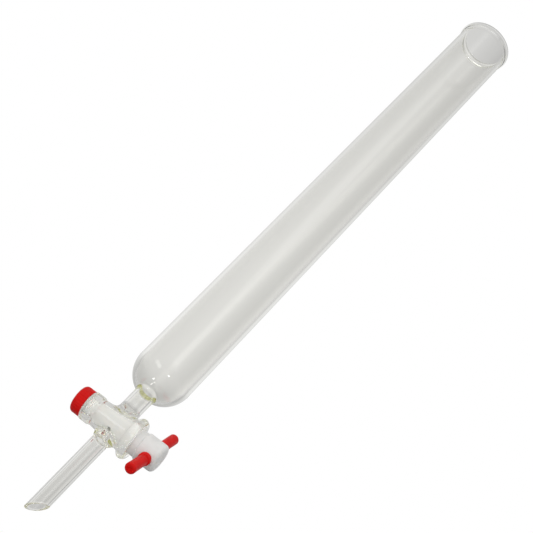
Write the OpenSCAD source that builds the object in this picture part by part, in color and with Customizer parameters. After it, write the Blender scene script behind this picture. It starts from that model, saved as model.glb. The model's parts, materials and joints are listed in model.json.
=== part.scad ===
// Glass chromatography column: a straight tube with a beaded mouth and a domed
// bottom, flame-sealed to a tapered stopcock with a PTFE plug and a bevelled outlet.
// Units are millimetres. +Z runs up the tube towards the mouth, +X runs along the
// stopcock towards its T-handle. The origin is on the tube's axis, halfway up its
// straight wall, where a stand's clamp grips it.

/* [Column tube] */
// Outside diameter of the tube
tube_d = 30; // [28:0.5:34]
// Wall thickness of the tube and of its domed bottom
tube_wall = 2; // [1.6:0.1:2.4]
// Straight wall, from the centre of the dome to the top of the bead
tube_len = 304; // [200:1:460]
// Outside diameter of the beaded mouth
bead_d = 31.8; // [31:0.1:35]
// Height of the bead
bead_h = 4; // [3:0.1:6]

/* [Neck] */
// Outside diameter of the neck between the dome and the stopcock
neck_d = 10.4; // [9:0.1:12]
// Bore of the neck
neck_bore = 7.2; // [5:0.1:8]
// Height of the dome's centre above the stopcock's axis
dome_rise = 36; // [33:0.5:50]

/* [Stopcock barrel] */
// Outside radius of the barrel where the tube's axis crosses it
barrel_r = 7.65; // [7.5:0.05:8.5]
// Radius gained per millimetre along X, half of the plug's 1:5 taper
taper = 0.1; // [0.08:0.01:0.12]
// X of the barrel's small end, next to the nut
barrel_x_small = -16; // [-18:0.5:-15]
// X of the barrel's large end, next to the T-handle
barrel_x_large = 12; // [11:0.5:14]
// Outside radius of the collar at the small end
collar_r = 7.25; // [7:0.05:8]
// Length of that collar
collar_len = 5.5; // [4:0.1:6]
// Outside radius of the lip at the large end
lip_r = 10.5; // [10:0.1:11.5]
// Width of that lip
lip_w = 4.2; // [3:0.1:5]

/* [Outlet tube] */
// Outside diameter of the outlet tube
outlet_d = 8.4; // [7.5:0.1:9]
// Bore of the outlet tube
outlet_bore = 5.6; // [4:0.1:6]
// Distance from the stopcock's axis down to the long corner of the tip
outlet_len = 56.4; // [35:0.2:90]
// Angle that the tip is cut at, measured from square
bevel = 40; // [20:1:50]

/* [Plug] */
// Radius of the plug where the tube's axis crosses it
plug_r = 5.9; // [5.5:0.05:6]
// Running clearance between the plug and the barrel, on the radius
plug_gap = 0.05; // [0.03:0.01:0.08]
// Bore through the plug
plug_bore = 2; // [1.5:0.1:3]
// X where the taper ends and the threaded tail begins
plug_x_tail = -9.5; // [-11:0.5:-8]
// Radius of the threaded tail
tail_r = 3.9; // [3.5:0.05:4]
// Half width across the two flats that key the washer to the tail
tail_flat = 3.3; // [3:0.05:3.5]
// Radius of the head
head_r = 6.9; // [6.5:0.05:7.5]
// X of the head's inner end
head_x = 15.4; // [14.5:0.1:17]
// Length of the head
head_len = 10.7; // [9:0.1:13]

/* [T-handle] */
// Angle of the handle from the tube's axis; the bore through the plug turns with it
handle_turn = 33.6; // [0:0.2:90]
// Length of the bar on its collar side, from the plug's axis
handle_near = 21.7; // [16:0.1:30]
// Length of the bar on its plain side, from the plug's axis
handle_far = 23.1; // [16:0.1:30]
// Radius of the bar where it passes through the head
handle_r = 2.5; // [2:0.05:3]
// Radius of the grip on the collar side
grip_r = 2.75; // [2.5:0.05:3.2]
// Radius of the collar that seats on the head
seat_r = 3.05; // [2.8:0.05:3.4]

/* [Nut, washer and O-ring] */
// Outside radius of the nut
nut_r = 6.85; // [6.5:0.05:7.5]
// Length of the nut
nut_len = 5.6; // [5:0.1:7]
// Thickness of the nut's threaded web
web_t = 2.8; // [2:0.1:3.5]
// Number of grip grooves round the nut
nut_grooves = 30; // [12:1:40]
// Clearance of the nut, washer and O-ring round the tail
tail_gap = 0.1; // [0.05:0.01:0.2]
// Thickness of the keyed washer
washer_t = 1; // [0.8:0.1:1.5]
// Cord diameter of the O-ring
ring_cord = 1.8; // [1.5:0.1:2]

/* [Hidden] */
$fn = 64;
tube_r = tube_d / 2;
tube_bore_r = tube_r - tube_wall;
neck_r = neck_d / 2;
outlet_r = outlet_d / 2;
stopcock_z = -(dome_rise + tube_len / 2);   // the stopcock's axis below the origin
dome_z = dome_rise;                         // heights from here on are above the stopcock's axis
rim_z = dome_rise + tube_len;
bead_out = bead_d / 2 - tube_r;             // how far the bead stands out
seal_r = 2.2;                               // fillet where the neck joins the dome
pad_h = 2.4;                                // height of the cone of glass at a side tube's seal
pad_r = 7.2;                                // radius of that cone at the stopcock's axis
port_r = 1.6;                               // hole through the barrel's wall
bore_r0 = plug_r + plug_gap;                // barrel's bore where the tube's axis crosses it
far = 40;                                   // longer than anything it cuts
end_gap = 0.05;                             // air left between pieces that slide apart
nut_x = barrel_x_small - 0.2;               // open rim of the nut
web_x = nut_x - (nut_len - web_t);          // inner face of the nut's web
nut_end_x = nut_x - nut_len;
recess_r = 6.05;                            // recess in the nut for the washer and O-ring
washer_r = 5.6;
head_end_x = head_x + head_len;
handle_x = head_x + 5.8;                    // X of the handle's axis
shank_r = 6.4;                              // plug between the barrel and the head
seat_depth = 0.5;                           // flat cut in the head for the handle's collar

// Put a child that is drawn round the stopcock's crossing point where it belongs.
module at_stopcock() translate([0, 0, stopcock_z]) children();

// Turn a shape of revolution from the Z axis onto the X axis.
module along_x() rotate([0, 90, 0]) children();

// Turn with the plug, so that the child's Z axis lies along the T-handle.
module with_handle() rotate([-handle_turn, 0, 0]) children();

// Solid cone round X between two places, following the stopcock's taper.
module taper_solid(r0, x0, x1)
    along_x() translate([0, 0, x0])
        cylinder(h = x1 - x0, r1 = r0 + taper * x0, r2 = r0 + taper * x1);

// Disc round Z with a rounded rim: h high, radius r, edge radius e.
module round_disc(h, r, e)
    rotate_extrude() {
        square([r - e, h]);
        translate([0, e]) square([r, h - 2 * e]);
        for (y = [e, h - e]) translate([r - e, y]) circle(r = e, $fn = 32);
    }

// Outline of the column's wall on one side of its axis.
module column_profile() {
    seal_x = neck_r + seal_r;
    seal_y = dome_z - sqrt(pow(tube_r + seal_r, 2) - pow(seal_x, 2));
    touch = tube_r / (tube_r + seal_r);      // where the fillet meets the dome
    translate([tube_bore_r, dome_z]) square([tube_wall, tube_len - tube_wall / 2]);
    translate([tube_bore_r + tube_wall / 2, rim_z - tube_wall / 2]) circle(d = tube_wall, $fn = 32);
    // bead
    translate([tube_r - 0.5, rim_z - bead_h]) difference() {
        translate([0, 0.3]) square([bead_out + 0.5, bead_h - 1.3]);
        translate([bead_out + 1.1, -0.2]) circle(r = 1.1, $fn = 32);
    }
    intersection() {
        translate([tube_r + bead_out - 1.4, rim_z - 1.4]) circle(r = 1.4, $fn = 32);
        translate([tube_r - 1, rim_z - 1.4]) square([bead_out + 2, 2]);
    }
    // dome
    intersection() {
        translate([0, dome_z]) difference() {
            circle(r = tube_r, $fn = 96);
            circle(r = tube_bore_r, $fn = 96);
        }
        translate([neck_bore / 2, dome_z - tube_r]) square([tube_r, tube_r]);
    }
    // fillet down to the neck
    difference() {
        polygon([[neck_bore / 2, seal_y], [neck_r, seal_y], [seal_x, seal_y],
                 [seal_x * touch, dome_z - (dome_z - seal_y) * touch],
                 [neck_bore / 2, dome_z - tube_bore_r * 0.94]]);
        translate([seal_x, seal_y]) circle(r = seal_r, $fn = 48);
    }
}

// Height of the joint between the column's dome and the neck.
function neck_top() = dome_z - sqrt(pow(tube_r + seal_r, 2) - pow(neck_r + seal_r, 2));

// Tube up from the barrel, with a cone of glass where it is sealed on; open at both ends.
module side_tube(length, r, bore)
    difference() {
        union() {
            cylinder(h = length, r = r);
            cylinder(h = barrel_r + pad_h, r1 = pad_r, r2 = r);
        }
        taper_solid(barrel_r, -far, far);
        translate([0, 0, bore_r0]) cylinder(h = length, r = port_r);
        translate([0, 0, barrel_r + 1]) cylinder(h = length, r = bore / 2);
    }

module column_tube()
    color([0.80, 0.83, 0.80, 0.4]) at_stopcock() rotate_extrude($fn = 128) column_profile();

module neck_tube()
    color([0.80, 0.83, 0.80, 0.4]) at_stopcock() side_tube(neck_top(), neck_r, neck_bore);

module outlet_tube()
    color([0.80, 0.83, 0.80, 0.4]) at_stopcock() difference() {
        rotate([180, 0, 0]) side_tube(outlet_len, outlet_r, outlet_bore);
        // bevelled tip, long side towards the nut
        translate([-outlet_r, 0, -outlet_len]) rotate([0, -bevel, 0])
            translate([-far / 2, -far / 2, -far]) cube([2 * far, far, far]);
    }

module stopcock_barrel()
    color([0.80, 0.83, 0.80, 0.4]) at_stopcock() difference() {
        union() {
            taper_solid(barrel_r, barrel_x_small + 0.5, barrel_x_large - 0.5);
            translate([barrel_x_small, 0, 0]) along_x() round_disc(collar_len, collar_r, 0.9);
            translate([barrel_x_large - lip_w, 0, 0]) along_x() round_disc(lip_w, lip_r, lip_w / 2 - 0.1);
        }
        taper_solid(bore_r0, barrel_x_small - 1, barrel_x_large + 1);
        cylinder(h = far, r = port_r, center = true);
    }

module plug()
    color([0.95, 0.95, 0.93]) at_stopcock() difference() {
        union() {
            taper_solid(plug_r, plug_x_tail, barrel_x_large - 0.4);
            translate([barrel_x_large - 0.4, 0, 0]) along_x()
                cylinder(h = head_x - barrel_x_large + 1, r = shank_r);
            translate([head_x, 0, 0]) along_x() head();
            threaded_tail();
        }
        with_handle() cylinder(h = far, d = plug_bore, center = true);
        translate([handle_x, 0, 0]) with_handle() {
            cylinder(h = far, r = handle_r, center = true);
            translate([0, 0, -far - head_r + seat_depth]) cylinder(h = far, r = seat_r);
        }
    }

// Head of the plug, round Z: a short cylinder with a soft inner edge and a domed end.
module head()
    rotate_extrude() {
        translate([0, 0.5]) square([head_r, head_len - 2.4]);
        square([head_r - 0.5, head_len]);
        translate([head_r - 0.5, 0.5]) circle(r = 0.5, $fn = 32);
        translate([0, head_len - 1.9]) intersection() {
            translate([head_r - 1.9, 0]) circle(r = 1.9, $fn = 48);
            square([head_r, 1.9]);
        }
    }

// Tail that carries the washer, O-ring and nut, with a flat on each side for the washer.
module threaded_tail()
    intersection() {
        translate([nut_end_x + 0.3, 0, 0]) along_x()
            cylinder(h = plug_x_tail - nut_end_x + 0.7, r = tail_r);
        translate([-far, -far / 2, -tail_flat]) cube([2 * far, far, 2 * tail_flat]);
    }

module t_handle()
    color([0.75, 0.02, 0.02]) at_stopcock() translate([handle_x, 0, 0]) with_handle() {
        cylinder(h = 2 * head_r, r = handle_r, center = true);
        translate([0, 0, head_r - 1]) round_disc(handle_far - head_r + 1, handle_r, 1.2);
        translate([0, 0, -head_r + seat_depth - 2.4]) round_disc(2.4, seat_r, 0.5);
        translate([0, 0, -handle_near]) round_disc(handle_near - head_r - 0.5, grip_r, 1.0);
    }

module washer()
    color([0.93, 0.95, 0.93]) at_stopcock() difference() {
        translate([barrel_x_small - end_gap - washer_t, 0, 0]) along_x()
            cylinder(h = washer_t, r = washer_r);
        intersection() {
            along_x() cylinder(h = 2 * far, r = tail_r + tail_gap, center = true);
            cube([2 * far, far, 2 * (tail_flat + tail_gap)], center = true);
        }
    }

module o_ring()
    color([0.12, 0.12, 0.12]) at_stopcock()
        translate([barrel_x_small - 2 * end_gap - washer_t - ring_cord / 2, 0, 0]) along_x()
            rotate_extrude() translate([tail_r + tail_gap + ring_cord / 2, 0])
                circle(d = ring_cord, $fn = 32);

module nut()
    color([0.75, 0.02, 0.02]) at_stopcock() difference() {
        translate([nut_x, 0, 0]) rotate([0, -90, 0]) rotate_extrude() {
            translate([0, 0.2]) square([nut_r, nut_len - 2.2]);
            square([nut_r - 0.2, nut_len - 2]);
            square([nut_r - 2, nut_len]);
            translate([nut_r - 2, nut_len - 2]) circle(r = 2, $fn = 48);
        }
        along_x() cylinder(h = 2 * far, r = tail_r + tail_gap, center = true);
        translate([web_x, 0, 0]) along_x() cylinder(h = far, r = recess_r);
        for (i = [0 : nut_grooves - 1])
            rotate([i * 360 / nut_grooves, 0, 0])
                translate([nut_x - nut_len / 2, 0, nut_r + 0.1]) along_x()
                    cylinder(h = 2 * nut_len, r = 0.28, center = true, $fn = 16);
    }

column_tube();
neck_tube();
stopcock_barrel();
outlet_tube();
plug();
t_handle();
washer();
o_ring();
nut();
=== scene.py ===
"""Looks for the glass chromatography column: blown glass, a turned PTFE plug, a moulded
T-handle, washer, O-ring and nut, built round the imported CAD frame.

Shapes are drawn in millimetres from the point where the column's axis crosses the
stopcock's axis: x runs along the stopcock towards the handle, z up towards the mouth.
"""

import json
import math

import bmesh
import bpy
import numpy as np
from mathutils import Matrix, Vector


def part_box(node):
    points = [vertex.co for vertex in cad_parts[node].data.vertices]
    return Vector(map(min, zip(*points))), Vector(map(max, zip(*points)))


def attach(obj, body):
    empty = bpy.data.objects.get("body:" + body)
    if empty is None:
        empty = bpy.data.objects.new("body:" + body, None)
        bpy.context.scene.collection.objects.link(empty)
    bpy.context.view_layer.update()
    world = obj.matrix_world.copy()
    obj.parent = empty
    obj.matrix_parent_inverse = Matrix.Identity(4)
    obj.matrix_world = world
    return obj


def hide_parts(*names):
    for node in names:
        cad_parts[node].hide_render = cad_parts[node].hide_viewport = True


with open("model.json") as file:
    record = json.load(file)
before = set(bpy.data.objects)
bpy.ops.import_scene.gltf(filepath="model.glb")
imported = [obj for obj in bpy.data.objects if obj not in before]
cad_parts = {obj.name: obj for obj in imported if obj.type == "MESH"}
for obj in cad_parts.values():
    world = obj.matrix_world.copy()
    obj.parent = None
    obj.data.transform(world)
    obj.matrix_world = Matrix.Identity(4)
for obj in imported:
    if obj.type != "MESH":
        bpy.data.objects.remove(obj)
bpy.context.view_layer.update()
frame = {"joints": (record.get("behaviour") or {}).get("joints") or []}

MM = 0.001
joints = {j["name"]: j for j in frame["joints"]}
CROSS = np.array(joints["plug_turn"]["pos_m"], float)  # crossing of the two axes, metres


def node_span(node):
    """Lowest and highest corner of a CAD node, in mm from the crossing."""
    low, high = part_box(node)
    return (np.array(low) - CROSS) / MM, (np.array(high) - CROSS) / MM


# ---------------------------------------------------------------- sizes, in mm
column_high = node_span("column_tube")[1]
outlet_low = node_span("outlet_tube")[0]
barrel_low, barrel_high = node_span("stopcock_barrel")
plug_low, plug_high = node_span("plug")
nut_low, nut_high = node_span("nut")
ring_low, ring_high = node_span("o_ring")
washer_low, washer_high = node_span("washer")

# column: a bore, wall and dome as in part.scad, and the bead on the mouth
RIM_Z = column_high[2]
BEAD_R = column_high[0]
TUBE_R = 15.0
TUBE_BORE = 13.0
DOME_Z = 36.0  # centre of the dome
GATHER = 0.3  # extra thickness at the dome's bottom, where the glass was gathered
NECK_R = 5.2
NECK_BORE = 3.6
NECK_FILLET = 1.5  # outside, between dome and neck
NECK_FLARE = 2.6  # inside, where the dome opens into the neck

# outlet, with the ring of glass that swells where it is sealed on
OUTLET_R = 4.2
OUTLET_BORE = 2.8
TIP_Z = outlet_low[2]
BEVEL = math.radians(40)
POLISH = 0.5  # radius that the flame left on the cut edge
SWELL_R = 4.0
SWELL_Z = -8.7
SWELL_WIRE = 0.9

# stopcock barrel
TAPER = 0.1  # radius gained for each mm along x
BARREL_R = 7.65  # outside, at x = 0
BARREL_MIDDLE = -2.0
BARREL_HALF = 13.4
BORE_R = 5.95  # at x = 0
PORT_R = 1.6
NECK_FLOOR = 8.8  # the neck's bore ends here and the port goes on
OUTLET_ROOF = -9.0
LIP_R = barrel_high[1]
LIP_X = (7.8, barrel_high[0])
LIP_ROUND = 2.0
COLLAR_R = 7.25
COLLAR_X = (barrel_low[0], -10.5)
COLLAR_ROUND = 0.9

# how far two neighbouring shapes of molten glass run into each other
BLEND_COLLAR = 0.9
BLEND_LIP = 1.8
BLEND_SEAL = 2.6
BLEND_SWELL = 1.6
BLEND_PORT = 1.4
BLEND_BORE = 0.4
BLEND_EDGE = 0.5
BLEND_FLOOR = 3.2
BLEND_ROOF = 1.6

# the stopcock's glass is netted inside a block; turned tubes join it above and below
CELL = 0.3
CUT_Z = 13.8
JOIN_Z = CUT_Z + 0.2

# plug
PLUG_R = 5.9  # at x = 0
PLUG_END = 11.4  # the taper's large end
TAIL_X = -9.5
TAIL_R = 3.9
TAIL_FLAT = 3.3
FLOW_R = 1.0
HEAD_R = plug_high[1]
HEAD_X = (15.4, plug_high[0])
SHANK_R = 6.4

# thread on the tail and in the nut
PITCH = 1.25
THREAD_STEP = 0.1  # between rows of points
FLANK = 2.6  # how steeply the groove's sides rise round a turn

# T-handle
HANDLE_X = 21.2
HANDLE_TURN = math.radians(33.6)
NEAR_END = 21.7
FAR_END = 23.1
CORE_R = 2.5
CORE_END = 7.6
SEAT_R = 3.05  # the collar that seats on the head
SEAT = (-8.9, -6.4)

# nut
NUT_R = nut_high[1]
NUT_X = (nut_high[0], nut_low[0])
RECESS_R = 6.05
RECESS = 2.8
GRIPS = 30


# ---------------------------------------------------------------- outlines
def rounded(corners, step=9.0):
    """Polyline through corners (a, r, fillet radius), its fillets in pieces of about step degrees."""
    out = []
    for i, (a, r, f) in enumerate(corners):
        p = np.array([a, r], float)
        if f <= 0 or i in (0, len(corners) - 1):
            out.append(p)
            continue
        u = np.array(corners[i - 1][:2], float) - p
        v = np.array(corners[i + 1][:2], float) - p
        u /= np.linalg.norm(u)
        v /= np.linalg.norm(v)
        half = math.acos(max(-1.0, min(1.0, float(u @ v)))) / 2
        reach = f / math.tan(half)
        w = (u + v) / np.linalg.norm(u + v)
        centre = p + w * f / math.sin(half)
        start, end = p + u * reach - centre, p + v * reach - centre
        a0, a1 = math.atan2(start[1], start[0]), math.atan2(end[1], end[0])
        turn = (a1 - a0 + math.pi) % (2 * math.pi) - math.pi
        n = max(3, int(abs(math.degrees(turn)) / step) + 1)
        for k in range(n + 1):
            t = a0 + turn * k / n
            out.append(centre + f * np.array([math.cos(t), math.sin(t)]))
    return out


def held(points, longest=6.0, hold=0.12):
    """Adds points: no stretch is over longest, and a long one has a point close to each end."""
    out = [points[0]]
    for p, q in zip(points[:-1], points[1:]):
        d = float(np.linalg.norm(q - p))
        if d > 4 * hold:
            inner = [hold / d, 1 - hold / d]
            n = int(d / longest)
            inner[1:1] = [k / (n + 1) for k in range(1, n + 1)]
            out += [p + (q - p) * t for t in inner]
        out.append(q)
    return out


def arc(centre, radius, a0, a1, n):
    """Points on an arc from a0 to a1 degrees, n pieces."""
    t = np.radians(np.linspace(a0, a1, n + 1))
    return [np.array([centre[0] + radius * math.cos(x), centre[1] + radius * math.sin(x)]) for x in t]


def spline(points, per):
    """Catmull-Rom curve through points, with per pieces between two of them."""
    p = np.array(points, float)
    p = np.vstack([2 * p[0] - p[1], p, 2 * p[-1] - p[-2]])
    out = []
    for i in range(1, len(p) - 2):
        for k in range(per):
            t = k / per
            out.append(
                0.5
                * (
                    2 * p[i]
                    + (p[i + 1] - p[i - 1]) * t
                    + (2 * p[i - 1] - 5 * p[i] + 4 * p[i + 1] - p[i + 2]) * t * t
                    + (3 * p[i] - p[i - 1] - 3 * p[i + 1] + p[i + 2]) * t**3
                )
            )
    out.append(p[-2])
    return out


def corner(start, middle, end, pieces):
    """Quadratic curve from start to end that bends round middle."""
    for k in np.linspace(0, 1, pieces + 1):
        yield start * (1 - k) ** 2 + middle * 2 * k * (1 - k) + end * k * k


def around(segs):
    """Angles of segs points round a circle."""
    return np.arange(segs) * 2 * np.pi / segs


# ---------------------------------------------------------------- meshes
def link(ob):
    bpy.context.scene.collection.objects.link(ob)
    return ob


class Shell:
    """Vertices and faces collected in mm, welded into one mesh at the end."""

    def __init__(self):
        self.verts = []
        self.faces = []
        self.count = 0

    def add(self, verts, faces):
        verts = np.asarray(verts, float).reshape(-1, 3)
        base = self.count
        self.verts.append(verts)
        self.faces += [tuple(int(i) + base for i in f) for f in faces]
        self.count += len(verts)
        return base

    def grid(self, points, wrap_rows=False):
        """A skin over an array (rows, columns, 3) that is closed round its columns."""
        rows, cols = points.shape[:2]
        idx = np.arange(rows * cols).reshape(rows, cols)
        last = rows if wrap_rows else rows - 1
        faces = []
        for i in range(last):
            a, b = idx[i], idx[(i + 1) % rows]
            a1, b1 = np.roll(a, -1), np.roll(b, -1)
            faces += list(zip(a, a1, b1, b))
        return self.add(points, faces)

    def object(self, name, sharp=None):
        me = bpy.data.meshes.new(name)
        co = np.vstack(self.verts) * MM + CROSS
        me.from_pydata(co.tolist(), [], self.faces)
        bm = bmesh.new()
        bm.from_mesh(me)
        bmesh.ops.remove_doubles(bm, verts=bm.verts, dist=2e-6)
        bmesh.ops.dissolve_degenerate(bm, edges=bm.edges, dist=1e-7)
        bmesh.ops.recalc_face_normals(bm, faces=bm.faces)
        bm.to_mesh(me)
        bm.free()
        me.shade_smooth()
        if sharp:
            me.set_sharp_from_angle(angle=math.radians(sharp))
        return link(bpy.data.objects.new(name, me))


def turned_z(profile, segs):
    """Profile [(z, r)] turned round the column's axis, as rows; z and r may differ with angle."""
    t = around(segs)
    c, s = np.cos(t), np.sin(t)
    return np.stack([np.stack([r * c, r * s, z + 0 * t], 1) for z, r in profile])


def turned_x(profile, segs):
    """Profile [(x, r)] turned round the stopcock's axis, as rows; x and r may differ with angle."""
    t = around(segs)
    c, s = np.cos(t), np.sin(t)
    return np.stack([np.stack([x + 0 * t, r * c, r * s], 1) for x, r in profile])


# ---------------------------------------------------------------- blown glass, as a distance field
def smin(a, b, k):
    """The lower of two distances, run together over a width k."""
    h = np.maximum(k - np.abs(a - b), 0) / k
    return np.minimum(a, b) - h * h * k / 4


def smax(a, b, k):
    """The higher of two distances, run together over a width k."""
    return -smin(-a, -b, k)


def disc_x(x, rho, x0, x1, r, e):
    """Rounded disc round the x axis."""
    qx = np.abs(x - (x0 + x1) / 2) - ((x1 - x0) / 2 - e)
    qr = rho - (r - e)
    outside = np.hypot(np.maximum(qx, 0), np.maximum(qr, 0))
    return outside + np.minimum(np.maximum(qx, qr), 0) - e


def glass_field(p):
    """Distance to the glass round the stopcock: below zero inside the glass."""
    x, y, z = p[..., 0], p[..., 1], p[..., 2]
    rho_x, rho_z = np.hypot(y, z), np.hypot(x, y)
    slope = math.cos(math.atan(TAPER))
    ends = np.abs(x - BARREL_MIDDLE) - BARREL_HALF
    barrel = np.maximum((rho_x - BARREL_R - TAPER * x) * slope, ends)
    collar = disc_x(x, rho_x, *COLLAR_X, COLLAR_R, COLLAR_ROUND)
    lip = disc_x(x, rho_x, *LIP_X, LIP_R, LIP_ROUND)
    body = smin(smin(barrel, collar, BLEND_COLLAR), lip, BLEND_LIP)
    neck = np.maximum(rho_z - NECK_R, -z)
    outlet = np.maximum(rho_z - OUTLET_R, z)
    swell = np.hypot(rho_z - SWELL_R, z - SWELL_Z) - SWELL_WIRE
    drain = smin(outlet, swell, BLEND_SWELL)
    solid = smin(smin(body, neck, BLEND_SEAL), drain, BLEND_SEAL)
    bore = (rho_x - BORE_R - TAPER * x) * slope
    ports = rho_z - PORT_R
    up = smax(rho_z - NECK_BORE, NECK_FLOOR - z, BLEND_FLOOR)
    down = smax(rho_z - OUTLET_BORE, z - OUTLET_ROOF, BLEND_ROOF)
    ways = np.minimum(smin(ports, up, BLEND_PORT), smin(ports, down, BLEND_PORT))
    return smax(solid, -smin(ways, bore, BLEND_BORE), BLEND_EDGE)


def field_mesh(field, low, cells, h):
    """Surface nets over a block of cells; the surface is left open where it leaves the block."""
    axes = [low[i] + h * np.arange(cells[i] + 1) for i in range(3)]
    g = np.stack(np.meshgrid(*axes, indexing="ij"), 3)
    f = field(g)
    inside = f < 0
    corners = [
        inside[i : i + cells[0], j : j + cells[1], k : k + cells[2]]
        for i, j, k in np.ndindex(2, 2, 2)
    ]
    some = np.logical_or.reduce(corners) & ~np.logical_and.reduce(corners)
    ids = -np.ones(cells, int)
    ids[some] = np.arange(some.sum())
    where = np.argwhere(some)
    total = np.zeros((len(where), 3))
    hits = np.zeros(len(where))
    for ax in range(3):
        d = np.eye(3, dtype=int)[ax]
        others = [a for a in range(3) if a != ax]
        for step in np.ndindex(2, 2):
            a = where.copy()
            a[:, others] += step
            b = a + d
            fa, fb = f[tuple(a.T)], f[tuple(b.T)]
            cut = (fa < 0) != (fb < 0)
            t = np.where(cut, fa / np.where(cut, fa - fb, 1), 0)
            pt = g[tuple(a.T)] + h * t[:, None] * d
            total += np.where(cut[:, None], pt, 0)
            hits += cut
    verts = total / hits[:, None]
    faces = []
    for ax in range(3):
        u, v = [a for a in range(3) if a != ax]
        n = list(f.shape)
        lo, hi = [slice(None)] * 3, [slice(None)] * 3
        lo[ax], hi[ax] = slice(0, n[ax] - 1), slice(1, n[ax])
        cut = inside[tuple(lo)] != inside[tuple(hi)]
        e = np.argwhere(cut)
        e = e[(e[:, u] > 0) & (e[:, v] > 0) & (e[:, u] < cells[u]) & (e[:, v] < cells[v])]
        du, dv = np.eye(3, dtype=int)[u], np.eye(3, dtype=int)[v]
        faces.append(np.stack([ids[tuple(q.T)] for q in (e - du - dv, e - dv, e, e - du)], 1))
    return verts, np.vstack(faces), where


def settle(field, verts, faces, fixed, rounds=6, finish=3, reach=0.3):
    """Relaxes the net along the surface, all but its fixed points, and puts every vertex on it."""
    edges = np.vstack([faces[:, [0, 1]], faces[:, [1, 2]], faces[:, [2, 3]], faces[:, [3, 0]]])
    ends = ((edges[:, 0], edges[:, 1]), (edges[:, 1], edges[:, 0]))
    n = len(verts)
    deg = np.bincount(edges.ravel(), minlength=n).astype(float)

    def slope(p):
        e = 1e-3
        return np.stack([(field(p + e * d) - field(p - e * d)) / (2 * e) for d in np.eye(3)], 1)

    for i in range(rounds + finish):
        if i < rounds:
            mean = np.zeros_like(verts)
            for c in range(3):
                mean[:, c] = sum(np.bincount(a, verts[b, c], n) for a, b in ends)
            mean /= deg[:, None]
            g = slope(verts)
            g /= np.linalg.norm(g, axis=1)[:, None]
            step = 0.5 * (mean - verts)
            step -= (step * g).sum(1)[:, None] * g
            step[fixed] = 0
            verts = verts + step
        g = slope(verts)
        verts = verts - np.clip(field(verts) / (g * g).sum(1), -reach, reach)[:, None] * g
    return verts


def zipped(ids_a, ang_a, ids_b, ang_b):
    """Triangles between two rings of points round one axis, each given by its angles."""
    oa, ob = np.argsort(ang_a), np.argsort(ang_b)
    ids_a, ang_a = ids_a[oa], ang_a[oa]
    start = int(np.argmin(np.abs((ang_b[ob] - ang_a[0] + np.pi) % (2 * np.pi) - np.pi)))
    ob = np.roll(ob, -start)
    ids_b, ang_b = ids_b[ob], ang_b[ob]
    a = np.append(ang_a - ang_a[0], 2 * np.pi)
    b = (ang_b - ang_a[0]) % (2 * np.pi)
    if b[0] > np.pi:
        b[0] -= 2 * np.pi
    b = np.append(b, b[0] + 2 * np.pi)
    na, nb = len(ids_a), len(ids_b)
    i = j = 0
    tris = []
    while i < na or j < nb:
        if j == nb or (i < na and a[i + 1] <= b[j + 1]):
            tris.append((ids_a[i], ids_a[(i + 1) % na], ids_b[j % nb]))
            i += 1
        else:
            tris.append((ids_a[i % na], ids_b[(j + 1) % nb], ids_b[j]))
            j += 1
    return tris


def stopcock_net():
    """The glass round the stopcock: points, faces, and which points are on its top and bottom cuts."""
    low = np.array([COLLAR_X[0] - 0.9, -LIP_R - 0.8, -CUT_Z])
    cells = [int(math.ceil(s / CELL)) for s in (LIP_X[1] + 0.9 - low[0], -2 * low[1])]
    cells.append(int(round(2 * CUT_Z / CELL)))
    verts, faces, where = field_mesh(glass_field, low, cells, CELL)
    top, bottom = where[:, 2] == cells[2] - 1, where[:, 2] == 0
    verts = settle(glass_field, verts, faces, top | bottom)
    verts[top, 2], verts[bottom, 2] = CUT_Z - CELL / 2, CELL / 2 - CUT_Z
    rho = np.hypot(verts[:, 0], verts[:, 1])
    for mask, outer, inner in ((top, NECK_R, NECK_BORE), (bottom, OUTLET_R, OUTLET_BORE)):
        want = np.where(rho > (outer + inner) / 2, outer, inner)
        verts[mask, :2] *= (want / rho)[mask, None]
    return verts, faces, top, bottom


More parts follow.
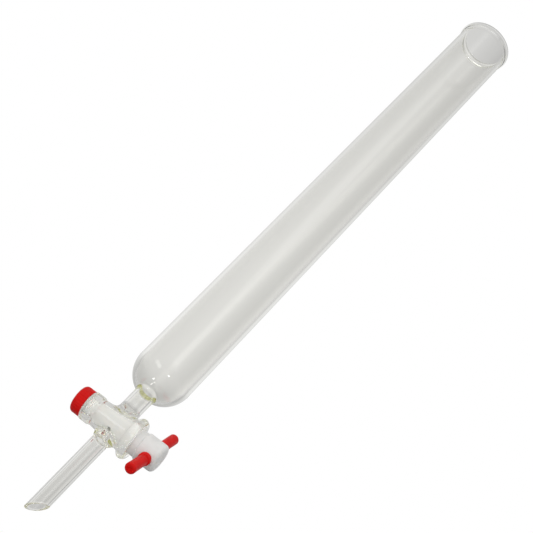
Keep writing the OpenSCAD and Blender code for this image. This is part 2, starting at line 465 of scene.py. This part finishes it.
def column_outline():
    """Profile [(z, r)] of neck, dome, wall and bead outside, then back down the inside."""
    sx = NECK_R + NECK_FILLET
    sy = DOME_Z - math.sqrt((TUBE_R + NECK_FILLET) ** 2 - sx**2)
    turn = math.degrees(math.atan2(DOME_Z - sy, -sx))
    outer = [np.array([JOIN_Z, NECK_R])]
    outer += [np.array([z, NECK_R]) for z in np.linspace(CUT_Z + 1.5, sy - 1, 4)]
    outer += [p[::-1] for p in arc((sx, sy), NECK_FILLET, 180, turn, 10)]
    outer += [p[::-1] for p in arc((0, DOME_Z), TUBE_R, turn - 180, 0, 26)][1:]
    outer += [np.array([z, TUBE_R]) for z in np.linspace(DOME_Z + 4, RIM_Z - 8, 22)]
    rim = [  # (below the rim, radius), from the wall over the bead into the bore
        (5.2, TUBE_R), (4.4, TUBE_R + 0.06), (3.7, TUBE_R + 0.34), (3.0, TUBE_R + 0.68),
        (2.2, BEAD_R - 0.03), (1.3, BEAD_R - 0.1), (0.55, BEAD_R - 0.5), (0.1, BEAD_R - 1.1),
        (0.0, BEAD_R - 1.7), (0.16, TUBE_BORE + 0.6), (0.6, TUBE_BORE + 0.2),
        (1.3, TUBE_BORE + 0.03), (2.2, TUBE_BORE),
    ]
    outer += spline([(RIM_Z - below, r) for below, r in rim], 5)
    inner = [np.array([z, TUBE_BORE]) for z in np.linspace(RIM_Z - 5, DOME_Z + 4, 22)]
    ix = NECK_BORE + NECK_FLARE
    iy = DOME_Z - math.sqrt((TUBE_BORE + NECK_FLARE) ** 2 - ix**2)
    meet = math.degrees(math.atan2(DOME_Z - iy, -ix))
    for x, z in arc((0, DOME_Z), TUBE_BORE, 0, meet - 180, 24):
        down = (DOME_Z - z) / TUBE_BORE
        inner.append(np.array([z + GATHER * down**3, x * (1 - 0.02 * down * (1 - down))]))
    for k, p in enumerate(arc((ix, iy), NECK_FLARE, meet, 180, 8)[1:]):
        inner.append(p[::-1] + np.array([GATHER * (1 - k / 7), 0]))
    inner += [np.array([z, NECK_BORE]) for z in np.linspace(iy - 1.2, CUT_Z + 1.5, 5)]
    inner.append(np.array([JOIN_Z, NECK_BORE]))
    return outer + inner


def outlet_outline(segs):
    """Profile [(z, r)] down the outlet's outside, round its fire-polished bevel and up its bore."""
    c = np.cos(around(segs))

    def face_z(r):
        return TIP_Z + (r * c + OUTLET_R) * math.tan(BEVEL)

    def wall(r, fractions):
        return [(-JOIN_Z * (1 - f) + (face_z(r) + 0.8) * f, r) for f in fractions]

    rows = wall(OUTLET_R, np.linspace(0, 1, 9))
    edge = face_z(OUTLET_R)
    heights = corner(edge + POLISH, edge, face_z(OUTLET_R - POLISH), 6)
    rows += zip(heights, corner(OUTLET_R, OUTLET_R, OUTLET_R - POLISH, 6))
    edge = face_z(OUTLET_BORE)
    heights = corner(face_z(OUTLET_BORE + POLISH), edge, edge + POLISH, 6)
    rows += zip(heights, corner(OUTLET_BORE + POLISH, OUTLET_BORE, OUTLET_BORE, 6))
    return rows + wall(OUTLET_BORE, np.linspace(1, 0, 9))


def glassware():
    """The whole flame-sealed glass as one closed skin: column, neck, stopcock barrel and outlet."""
    shell = Shell()
    verts, faces, top, bottom = stopcock_net()
    base = shell.add(verts, faces)
    rho = np.hypot(verts[:, 0], verts[:, 1])
    angle = np.arctan2(verts[:, 1], verts[:, 0])

    def join(rows, cut, middle):
        """Adds a turned tube and zips its first row and its last to the net's outer and inner ring."""
        count, segs = rows.shape[:2]
        start = shell.grid(rows)
        t = (around(segs) + np.pi) % (2 * np.pi) - np.pi
        for mask, row in ((cut & (rho > middle), 0), (cut & (rho <= middle), count - 1)):
            ids = np.flatnonzero(mask)
            ring = start + row * segs + np.arange(segs)
            tris = zipped(ids + base, angle[ids], ring, t)
            shell.faces += [tuple(int(q) for q in f) for f in tris]

    join(turned_z(column_outline(), 144), top, (NECK_R + NECK_BORE) / 2)
    join(turned_z(outlet_outline(96), 96), bottom, (OUTLET_R + OUTLET_BORE) / 2)
    return shell.object("glassware")


def cut_with(ob, cutters):
    """Boolean difference, applied to the mesh."""
    for c in cutters:
        m = ob.modifiers.new("cut", "BOOLEAN")
        m.operation = "DIFFERENCE"
        m.solver = "EXACT"
        m.object = c
    dg = bpy.context.evaluated_depsgraph_get()
    me = bpy.data.meshes.new_from_object(ob.evaluated_get(dg))
    ob.modifiers.clear()
    old = ob.data
    ob.data = me
    bpy.data.meshes.remove(old)
    for c in cutters:
        bpy.data.objects.remove(c)


def handle_frame(points):
    """Turns points drawn round z, from the plug's axis, into the T-handle's place."""
    c, s = math.cos(HANDLE_TURN), math.sin(HANDLE_TURN)
    x, y, z = points[..., 0], points[..., 1], points[..., 2]
    return np.stack([x + HANDLE_X, y * c + z * s, -y * s + z * c], -1)


def stem(name, x, r, s0, s1):
    """A plain rod along the handle's direction, for cutting."""
    rows = handle_frame(turned_z([(s0, 0), (s0, r), (s1, r), (s1, 0)], 48))
    rows[..., 0] += x - HANDLE_X
    shell = Shell()
    shell.grid(rows)
    return shell.object(name)


def thread(x, t, land):
    """Depth of the thread, 0 to 1, at x and angle t: full where a turn begins, none over its land."""
    turn = (x / PITCH - t / (2 * np.pi)) % 1
    return np.clip(np.abs(turn - 0.5) * FLANK - land, 0, 1)


def plug():
    """PTFE plug: keyed threaded tail, taper, shank and head, drilled for the flow and the handle."""
    segs = 120
    x0 = plug_low[0]
    x1 = HEAD_X[1]
    neck = TAIL_R - 0.35
    body = rounded(
        [
            (TAIL_X - 0.25, neck, 0),
            (TAIL_X, neck, 0),
            (TAIL_X, PLUG_R + TAPER * TAIL_X, 0.3),
            (PLUG_END, PLUG_R + TAPER * PLUG_END, 0.12),
            (PLUG_END + 0.2, SHANK_R - 0.03, 0.05),
            (HEAD_X[0], SHANK_R, 0.25),
            (HEAD_X[0], HEAD_R, 0.5),
            (x1, HEAD_R, 1.9),
            (x1, 2.2, 0.3),
            (x1 - 0.25, 1.7, 0.3),
            (x1 - 0.25, 0, 0),
        ],
        7,
    )
    # the thread runs out before the taper, and starts on a chamfer
    xs = np.arange(x0 + 0.5, TAIL_X - 0.26, THREAD_STEP)[:, None]
    fade = np.clip((TAIL_X - 1.4 - xs) / 0.8, 0, 1)
    r = TAIL_R - 0.55 * thread(xs, around(segs), 0.25) * fade
    r = np.minimum(r, TAIL_R - 0.45 + (xs - x0) * 0.9)
    tip = [(x0, 0), (x0, 1.2), (x0, TAIL_R - 1.0), (x0 + 0.12, TAIL_R - 0.75)]
    rows = turned_x(tip + list(zip(xs, r)) + held(body, 1.6), segs)
    tail = rows[..., 0] < TAIL_X - 0.2
    rows[..., 2] = np.where(tail, np.clip(rows[..., 2], -TAIL_FLAT, TAIL_FLAT), rows[..., 2])
    shell = Shell()
    shell.grid(rows)
    ob = shell.object("ptfe_plug")
    gap = 0.04
    past = 12  # beyond the plug's side
    cut_with(ob, [
        stem("cut_flow", 0, FLOW_R, -past, past),
        stem("cut_bar", HANDLE_X, CORE_R + gap, -past, past),
        stem("cut_seat", HANDLE_X, SEAT_R + gap, -past, -HEAD_R + 0.5),
    ])
    ob.data.shade_smooth()
    ob.data.set_sharp_from_angle(angle=math.radians(35))
    return ob


def t_handle():
    """Moulded T-handle: plain grip, core through the head, seating collar and the other grip."""
    outline = rounded(
        [
            (-NEAR_END + 0.7, 0, 0),
            (-NEAR_END + 0.7, 0.85, 0.25),
            (-NEAR_END, 1.15, 0.15),
            (-NEAR_END, 2.75, 0.95),
            (SEAT[0], 2.56, 0.35),
            (SEAT[0] + 0.18, SEAT_R, 0.4),
            (SEAT[1], SEAT_R, 0.2),
            (SEAT[1], CORE_R, 0),
            (CORE_END, CORE_R, 0),
            (FAR_END, 2.55, 1.2),
            (FAR_END, 0.9, 0.15),
            (FAR_END - 0.15, 0.7, 0.1),
            (FAR_END - 0.15, 0, 0),
        ],
        8,
    )
    shell = Shell()
    shell.grid(handle_frame(turned_z(held(outline, 1.5), 72)))
    return shell.object("t_handle_bar", sharp=40)


def washer():
    """PTFE washer with the double-D hole that keys it to the tail."""
    segs = 96
    x0, x1 = washer_low[0], washer_high[0]
    ro = washer_high[1]
    gap = 0.1
    flat = (TAIL_FLAT + gap) / np.maximum(np.abs(np.sin(around(segs))), 1e-6)
    ri = np.minimum(TAIL_R + gap, flat)
    middle = 0.5 * (ri + ro)
    e = 0.12
    loops = [
        (x0 + e, ri), (x0, ri + e), (x0, middle), (x0, ro - e), (x0 + e, ro),
        (x1 - e, ro), (x1, ro - e), (x1, middle), (x1, ri + e), (x1 - e, ri),
    ]
    shell = Shell()
    shell.grid(turned_x(loops, segs), wrap_rows=True)
    return shell.object("keyed_washer", sharp=30)


def o_ring():
    """O-ring, with the faint flash line a moulded ring has."""
    cord = (ring_high[0] - ring_low[0]) / 2
    centre = (ring_high[0] + ring_low[0]) / 2
    ring = ring_high[1] - cord
    a = around(28)
    flash = 0.02 * np.exp(-((np.sin(a) / 0.16) ** 2)) * (np.cos(a) < 0)
    r = cord - 0.01
    outline = np.stack([centre + r * np.sin(a), ring + (r + flash) * np.cos(a)], 1)
    shell = Shell()
    shell.grid(turned_x(outline, 96), wrap_rows=True)
    return shell.object("seal_ring")


def nut():
    """Moulded nut: grip grooves, a recess for the washer and O-ring, and a thread in its web."""
    segs = 360
    t = around(segs)
    x1, x0 = NUT_X
    web = x1 - RECESS
    outside = [
        (x1, RECESS_R, 0), (x1, NUT_R, 0.2), (x0, NUT_R, 2.0), (x0, 4.35, 0.1), (x0 + 0.4, 3.95, 0),
    ]
    spacing = 2 * np.pi / GRIPS
    d = np.abs((t + spacing / 2) % spacing - spacing / 2) * NUT_R
    groove = 0.11 * np.clip(1 - (d / 0.3) ** 2, 0, 1)
    rows = []
    for x, r in held(rounded(outside, 7), 0.8, 0.08):
        rows.append((x, r - groove * np.clip((r - NUT_R + 1.3) / 1.2, 0, 1)))
    for x in np.arange(x0 + 0.45, web - 0.15, THREAD_STEP):
        ease = min(1.0, (x - x0 - 0.4) / 0.3, (web - 0.1 - x) / 0.3)
        rows.append((x, 3.98 - 0.45 * thread(x, t, 0.35) * max(ease, 0)))
    rows += rounded([(web, 4.0, 0), (web, RECESS_R, 0.25), (x1, RECESS_R, 0)], 12)
    shell = Shell()
    shell.grid(turned_x(rows, segs), wrap_rows=True)
    return shell.object("gland_nut", sharp=50)


# ---------------------------------------------------------------- materials
def material(name, values):
    """A material with values on its shader's own sockets."""
    m = bpy.data.materials.new(name)
    m.use_nodes = True
    nt = m.node_tree
    shader = nt.nodes["Principled BSDF"]
    for socket, value in values.items():
        shader.inputs[socket].default_value = value
    return m, nt, shader


def grey(v):
    return (v, v, v)


def coords(nt, scale=(1, 1, 1)):
    tc = nt.nodes.new("ShaderNodeTexCoord")
    mp = nt.nodes.new("ShaderNodeMapping")
    mp.inputs["Scale"].default_value = scale
    nt.links.new(tc.outputs["Object"], mp.inputs["Vector"])
    return mp.outputs["Vector"]


def noise(nt, vector, scale, detail):
    n = nt.nodes.new("ShaderNodeTexNoise")
    n.inputs["Scale"].default_value = scale
    n.inputs["Detail"].default_value = detail
    n.inputs["Roughness"].default_value = 0.5
    nt.links.new(vector, n.inputs["Vector"])
    return n.outputs["Fac"]


def ramp(nt, fac, stops):
    r = nt.nodes.new("ShaderNodeValToRGB")
    els = r.color_ramp.elements
    while len(els) < len(stops):
        els.new(0.5)
    for e, (pos, col) in zip(els, stops):
        e.position = pos
        e.color = (*col, 1)
    nt.links.new(fac, r.inputs["Fac"])
    return r.outputs["Color"]


def spread(nt, fac, low, high):
    """Two colours, over the middle of what a noise gives."""
    return ramp(nt, fac, [(0.3, low), (0.7, high)])


def mix(nt, kind, fac, a, b):
    """Two colours mixed by fac, or in full where fac is None."""
    node = nt.nodes.new("ShaderNodeMix")
    node.data_type = "RGBA"
    node.blend_type = kind
    if fac is None:
        node.inputs[0].default_value = 1.0
    else:
        nt.links.new(fac, node.inputs[0])
    nt.links.new(a, node.inputs[6])
    nt.links.new(b, node.inputs[7])
    return node.outputs[2]


def bump(nt, height, strength, distance, normal=None):
    b = nt.nodes.new("ShaderNodeBump")
    b.inputs["Strength"].default_value = strength
    b.inputs["Distance"].default_value = distance
    nt.links.new(height, b.inputs["Height"])
    if normal is not None:
        nt.links.new(normal, b.inputs["Normal"])
    return b.outputs["Normal"]


def glass_material():
    m, nt, b = material("borosilicate_glass", {
        "Base Color": (0.99, 0.987, 0.968, 1),
        "Roughness": 0.0,
        "IOR": 1.473,
        "Transmission Weight": 1.0,
    })
    # faint draw lines along the tube and slow waviness of hand-worked glass
    lines = noise(nt, coords(nt, (1, 1, 0.02)), 420, 2)
    waves = noise(nt, coords(nt, (1, 1, 0.06)), 60, 1)
    n = bump(nt, lines, 0.03, 0.00001)
    n = bump(nt, waves, 0.06, 0.0001, n)
    nt.links.new(n, b.inputs["Normal"])
    # thick glass is olive, as it is where the pieces are sealed together
    vol = nt.nodes.new("ShaderNodeVolumeAbsorption")
    vol.inputs["Color"].default_value = (0.8, 0.805, 0.3, 1)
    vol.inputs["Density"].default_value = 4.0
    nt.links.new(vol.outputs["Volume"], nt.nodes["Material Output"].inputs["Volume"])
    return m


def ptfe_material():
    m, nt, b = material("turned_ptfe", {
        "IOR": 1.36,
        "Subsurface Weight": 0.5,
        "Subsurface Radius": (1.0, 0.95, 0.9),
        "Subsurface Scale": 0.0012,
    })
    patch = noise(nt, coords(nt), 260, 4)
    # two copies of one PTFE: the lighter for the part inside the glass, the greyer a painted shade for
    # the shank and head
    body = spread(nt, patch, (0.92, 0.92, 0.90), (0.95, 0.95, 0.93))
    painted_shade_grey = spread(nt, patch, (0.83, 0.82, 0.80), (0.88, 0.87, 0.85))
    # painted shade: the shank and head get a greyer copy of the PTFE than the part kept inside the
    # glass, so they read darker
    place = nt.nodes.new("ShaderNodeSeparateXYZ")
    nt.links.new(coords(nt), place.inputs[0])
    span = nt.nodes.new("ShaderNodeMapRange")
    span.inputs["From Min"].default_value = CROSS[0] + 10.5 * MM
    span.inputs["From Max"].default_value = CROSS[0] + 12.5 * MM
    nt.links.new(place.outputs["X"], span.inputs["Value"])
    color = mix(nt, "MIX", span.outputs["Result"], body, painted_shade_grey)
    nt.links.new(color, b.inputs["Base Color"])
    rough = spread(nt, noise(nt, coords(nt), 900, 3), grey(0.36), grey(0.5))
    nt.links.new(rough, b.inputs["Roughness"])
    # fine turning marks: rings across the stopcock's axis
    marks = noise(nt, coords(nt, (1, 0.015, 0.015)), 9000, 2)
    nt.links.new(bump(nt, marks, 0.25, 0.00002), b.inputs["Normal"])
    return m


def red_material():
    m, nt, b = material("moulded_red_plastic", {"IOR": 1.49, "Specular IOR Level": 0.15})
    color = spread(nt, noise(nt, coords(nt), 220, 3), (0.66, 0.0035, 0.002), (0.76, 0.005, 0.003))
    nt.links.new(color, b.inputs["Base Color"])
    rough = spread(nt, noise(nt, coords(nt), 1400, 3), grey(0.34), grey(0.46))
    nt.links.new(rough, b.inputs["Roughness"])
    grain = noise(nt, coords(nt), 2600, 3)
    nt.links.new(bump(nt, grain, 0.25, 0.00003), b.inputs["Normal"])
    return m


def rubber_material():
    m, nt, b = material("black_rubber", {})
    patch = noise(nt, coords(nt), 500, 4)
    nt.links.new(spread(nt, patch, grey(0.018), grey(0.032)), b.inputs["Base Color"])
    nt.links.new(spread(nt, patch, grey(0.5), grey(0.65)), b.inputs["Roughness"])
    grain = noise(nt, coords(nt), 3000, 2)
    nt.links.new(bump(nt, grain, 0.3, 0.00002), b.inputs["Normal"])
    return m


glass, ptfe, red, rubber = glass_material(), ptfe_material(), red_material(), rubber_material()
GLASS_NODES = ("column_tube", "neck_tube", "stopcock_barrel", "outlet_tube")
PIECES = [
    (glassware, "glass", glass, "glass", GLASS_NODES),
    (plug, "plug", ptfe, "ptfe", ("plug",)),
    (t_handle, "plug", red, "red_plastic", ("t_handle",)),
    (washer, "seal", ptfe, "ptfe", ("washer",)),
    (o_ring, "seal", rubber, "rubber", ("o_ring",)),
    (nut, "nut", red, "red_plastic", ("nut",)),
]
for make, body, mat, slot, nodes in PIECES:
    ob = make()
    ob.data.materials.clear()
    ob.data.materials.append(mat)
    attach(ob, body)
    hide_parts(*nodes)


# ---------------------------------------------------------------- studio, in metres
# the photograph's camera: its own axes, its place and its lens
RIGHT = Vector((0.7944, -0.1924, 0.5761))
UP = Vector((-0.5676, -0.5727, 0.5914))
AHEAD = Vector((-0.2161, 0.7968, 0.5642))
CAMERA_PLACE = (0.1491, -0.5545, -0.4611)
LENS = 94.56
SENSOR = 36

AIM = Vector((0, 0, -0.1))  # what the lamps face
FLOOR_Z = -0.8
FLOOR_HALF = 40.0
CARD_HALF = 0.11
CARD_AWAY = 0.1  # from the crossing of the axes
BOUNCES = 160  # light is guided a long way along the glass wall before it leaves at a seal

# name, place (right, up and ahead of the aim), size, watts, direction of the long side
KEY_TALL = RIGHT * 0.368 - UP * 0.554 - AHEAD * 0.748
LAMPS = [
    ("key", (-0.266, 0.451, -0.5), (0.16, 0.4), 0.3, KEY_TALL),
    ("lamp_0", (0.207, -0.057, -0.809), (0.07, 0.07), 0.35, UP),
    ("lamp_1", (-0.327, -0.108, -0.442), (0.045, 0.045), 0.15, UP),
    ("lamp_2", (-0.3685, -0.244, -0.351), (0.045, 0.045), 0.12, UP),
]

# greys of the room, each over how far a ray points towards a direction: (cosine, grey)
ROOM_TOP = UP * 0.9 + RIGHT * 0.2 - AHEAD * 0.35
STRIP_SLANT = Vector((-0.492, -0.534, -0.688))
STRIP_LIT = Vector((0.15, -0.82, 0.55))
SWEEP = [  # behind the object, from its upper left to its lower right
    (-0.6, 0.98), (-0.36, 0.79), (-0.17, 0.745), (-0.04, 0.73), (0.0, 0.69), (0.06, 0.645),
    (0.11, 0.635), (0.2, 0.77), (0.34, 0.85), (0.6, 0.78),
]
FALL = [  # behind the object, from the outlet's end to the mouth's: multiplies the sweep
    (-0.4, 0.64), (-0.25, 0.74), (-0.15, 0.88), (-0.1, 1.0), (0.0, 1.0), (0.1, 0.95),
    (0.22, 0.86), (0.4, 0.84),
]
ROOM = [  # in front of the object, brighter towards the top of the picture
    (-1.0, 0.42), (-0.3, 0.36), (0.0, 0.42), (0.4, 0.62), (1.0, 0.8),
]
BAND = [  # a bright strip, where rays are nearly square to a slanting direction
    (-0.6, 0.0), (-0.3, 0.15), (-0.14, 0.35), (-0.07, 0.9), (0.07, 0.9), (0.14, 0.35),
    (0.3, 0.15), (0.6, 0.0),
]
REACH = [  # how much of that strip is lit: only its part at the picture's upper right
    (0.76, 0.0), (0.88, 0.4), (0.95, 0.95), (1.0, 1.0),
]
BEHIND = [  # 0 in front of the object, 1 behind it
    (0.55, 0.0), (0.85, 1.0),
]


def stand(x, y, z, place):
    """Where something stands that has these three axes."""
    return Matrix.Translation(place) @ Matrix((x, y, z)).transposed().to_4x4()


def camera():
    data = bpy.data.cameras.new("camera")
    data.lens = LENS
    data.sensor_width = SENSOR
    data.clip_start = 0.01
    ob = link(bpy.data.objects.new("camera", data))
    ob.matrix_world = stand(RIGHT, UP, -AHEAD, CAMERA_PLACE)
    bpy.context.scene.camera = ob


def softbox(name, place, size, power, tall):
    """Area light that faces the aim."""
    data = bpy.data.lights.new(name, "AREA")
    data.shape = "RECTANGLE"
    data.size, data.size_y = size
    data.energy = power
    ob = link(bpy.data.objects.new(name, data))
    at = AIM + RIGHT * place[0] + UP * place[1] + AHEAD * place[2]
    back = (at - AIM).normalized()
    side = tall.cross(back).normalized()
    ob.matrix_world = stand(side, back.cross(side), back, at)
    ob.visible_camera = False


def room():
    """White behind the object for the eye; for what it reflects and refracts, a soft grey room."""
    world = bpy.data.worlds.new("studio")
    bpy.context.scene.world = world
    world.use_nodes = True
    nt = world.node_tree
    tc = nt.nodes.new("ShaderNodeTexCoord")

    def towards(direction, low, high, stops):
        """Grey ramp over how far a ray points towards a direction."""
        dot = nt.nodes.new("ShaderNodeVectorMath")
        dot.operation = "DOT_PRODUCT"
        dot.inputs[1].default_value = direction
        nt.links.new(tc.outputs["Generated"], dot.inputs[0])
        scale = nt.nodes.new("ShaderNodeMapRange")
        scale.inputs["From Min"].default_value = low
        scale.inputs["From Max"].default_value = high
        nt.links.new(dot.outputs["Value"], scale.inputs["Value"])
        greys = [((x - low) / (high - low), grey(v)) for x, v in stops]
        return ramp(nt, scale.outputs["Result"], greys)

    across = AHEAD.cross(Vector((0, 0, 1))).normalized()
    along = across.cross(AHEAD)
    sweep = towards(across, -0.6, 0.6, SWEEP)
    sweep = mix(nt, "MULTIPLY", None, sweep, towards(along, -0.4, 0.4, FALL))
    band = towards(STRIP_SLANT, -0.6, 0.6, BAND)
    band = mix(nt, "MULTIPLY", None, band, towards(STRIP_LIT, 0.0, 1.0, REACH))
    front = mix(nt, "ADD", None, towards(ROOM_TOP.normalized(), -1, 1, ROOM), band)
    light = mix(nt, "MIX", towards(AHEAD, -1, 1, BEHIND), front, sweep)
    seen = nt.nodes["Background"]
    nt.links.new(light, seen.inputs["Color"])
    white = nt.nodes.new("ShaderNodeBackground")
    white.inputs["Color"].default_value = (1, 1, 1, 1)
    path = nt.nodes.new("ShaderNodeLightPath")
    pick = nt.nodes.new("ShaderNodeMixShader")
    nt.links.new(path.outputs["Is Camera Ray"], pick.inputs[0])
    nt.links.new(seen.outputs[0], pick.inputs[1])
    nt.links.new(white.outputs[0], pick.inputs[2])
    nt.links.new(pick.outputs[0], nt.nodes["World Output"].inputs["Surface"])


def sheet(name, corners, look, tone, rough, seen=True):
    """A flat staged square, which isn't part of the object. If not seen, it shades only matt faces."""
    me = bpy.data.meshes.new(name)
    me.from_pydata([tuple(c) for c in corners], [], [(0, 1, 2, 3)])
    m, _, _ = material(look, {"Base Color": (*grey(tone), 1), "Roughness": rough})
    me.materials.append(m)
    ob = link(bpy.data.objects.new(name, me))
    ob.visible_camera = ob.visible_glossy = ob.visible_transmission = seen


def floor_and_card():
    """A pale floor, and a dark card beside the stopcock, at its lower left in the picture."""
    square = ((-1, -1), (1, -1), (1, 1), (-1, 1))
    floor = [(a * FLOOR_HALF, b * FLOOR_HALF, FLOOR_Z) for a, b in square]
    sheet("floor", floor, "pale_floor", 0.82, 0.7)
    down = -(RIGHT * 0.58 + UP * 0.81).normalized()
    side = down.cross(AHEAD).normalized()
    rise = side.cross(down)
    middle = Vector(CROSS) + down * CARD_AWAY
    card = [middle + side * a * CARD_HALF + rise * b * CARD_HALF for a, b in square]
    sheet("card", card, "dark_card", 0.03, 0.9, seen=False)


camera()
room()
for lamp in LAMPS:
    softbox(*lamp)
floor_and_card()
bpy.context.scene.view_settings.view_transform = "Standard"
cycles = bpy.context.scene.cycles
cycles.max_bounces = cycles.transmission_bounces = cycles.glossy_bounces = BOUNCES
cycles.transparent_max_bounces = 16
cycles.blur_glossy = 0.0
